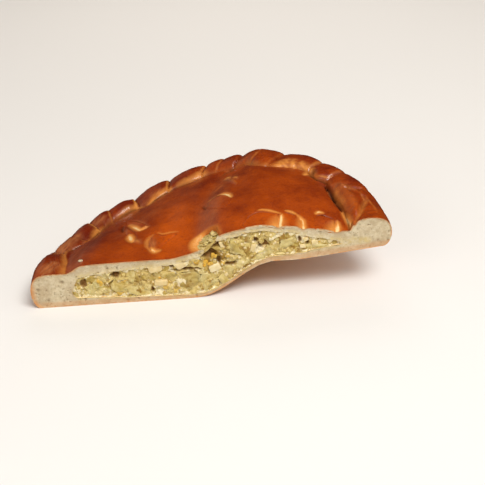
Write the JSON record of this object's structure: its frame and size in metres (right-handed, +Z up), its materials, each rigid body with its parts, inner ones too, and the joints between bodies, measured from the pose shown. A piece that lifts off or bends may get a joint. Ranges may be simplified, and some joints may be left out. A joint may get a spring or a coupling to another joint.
{
  "type": "cabbage and egg pie",
  "caption": "Half of a round baked yeast-dough pie, cut through the vent in its top to show the chopped filling, with a rope edge and dough leaves, one end raised.",
  "frame": {"origin": "middle of the box round the half pie, at the height of the surface that it lies on", "axes": "+X along the knife's cut towards the raised end, +Y from the cut into the pie, +Z up"},
  "size_m": [0.2408, 0.1278, 0.06],
  "materials": {
    "baked_crust": "egg-washed baked crust, satin to glossy",
    "cabbage_and_egg": "moist chopped cabbage and boiled egg",
    "baked_leaf": "egg-washed baked dough, satin to glossy"
  },
  "bodies": {
    "root": {"crust": "baked_crust", "filling": "cabbage_and_egg", "leaf_left_back": "baked_leaf", "leaf_left_front": "baked_leaf", "leaf_left_inner": "baked_leaf", "leaf_middle": "baked_leaf", "leaf_right_inner": "baked_leaf", "leaf_right_middle": "baked_leaf", "leaf_right_outer": "baked_leaf"}
  },
  "joints": []
}
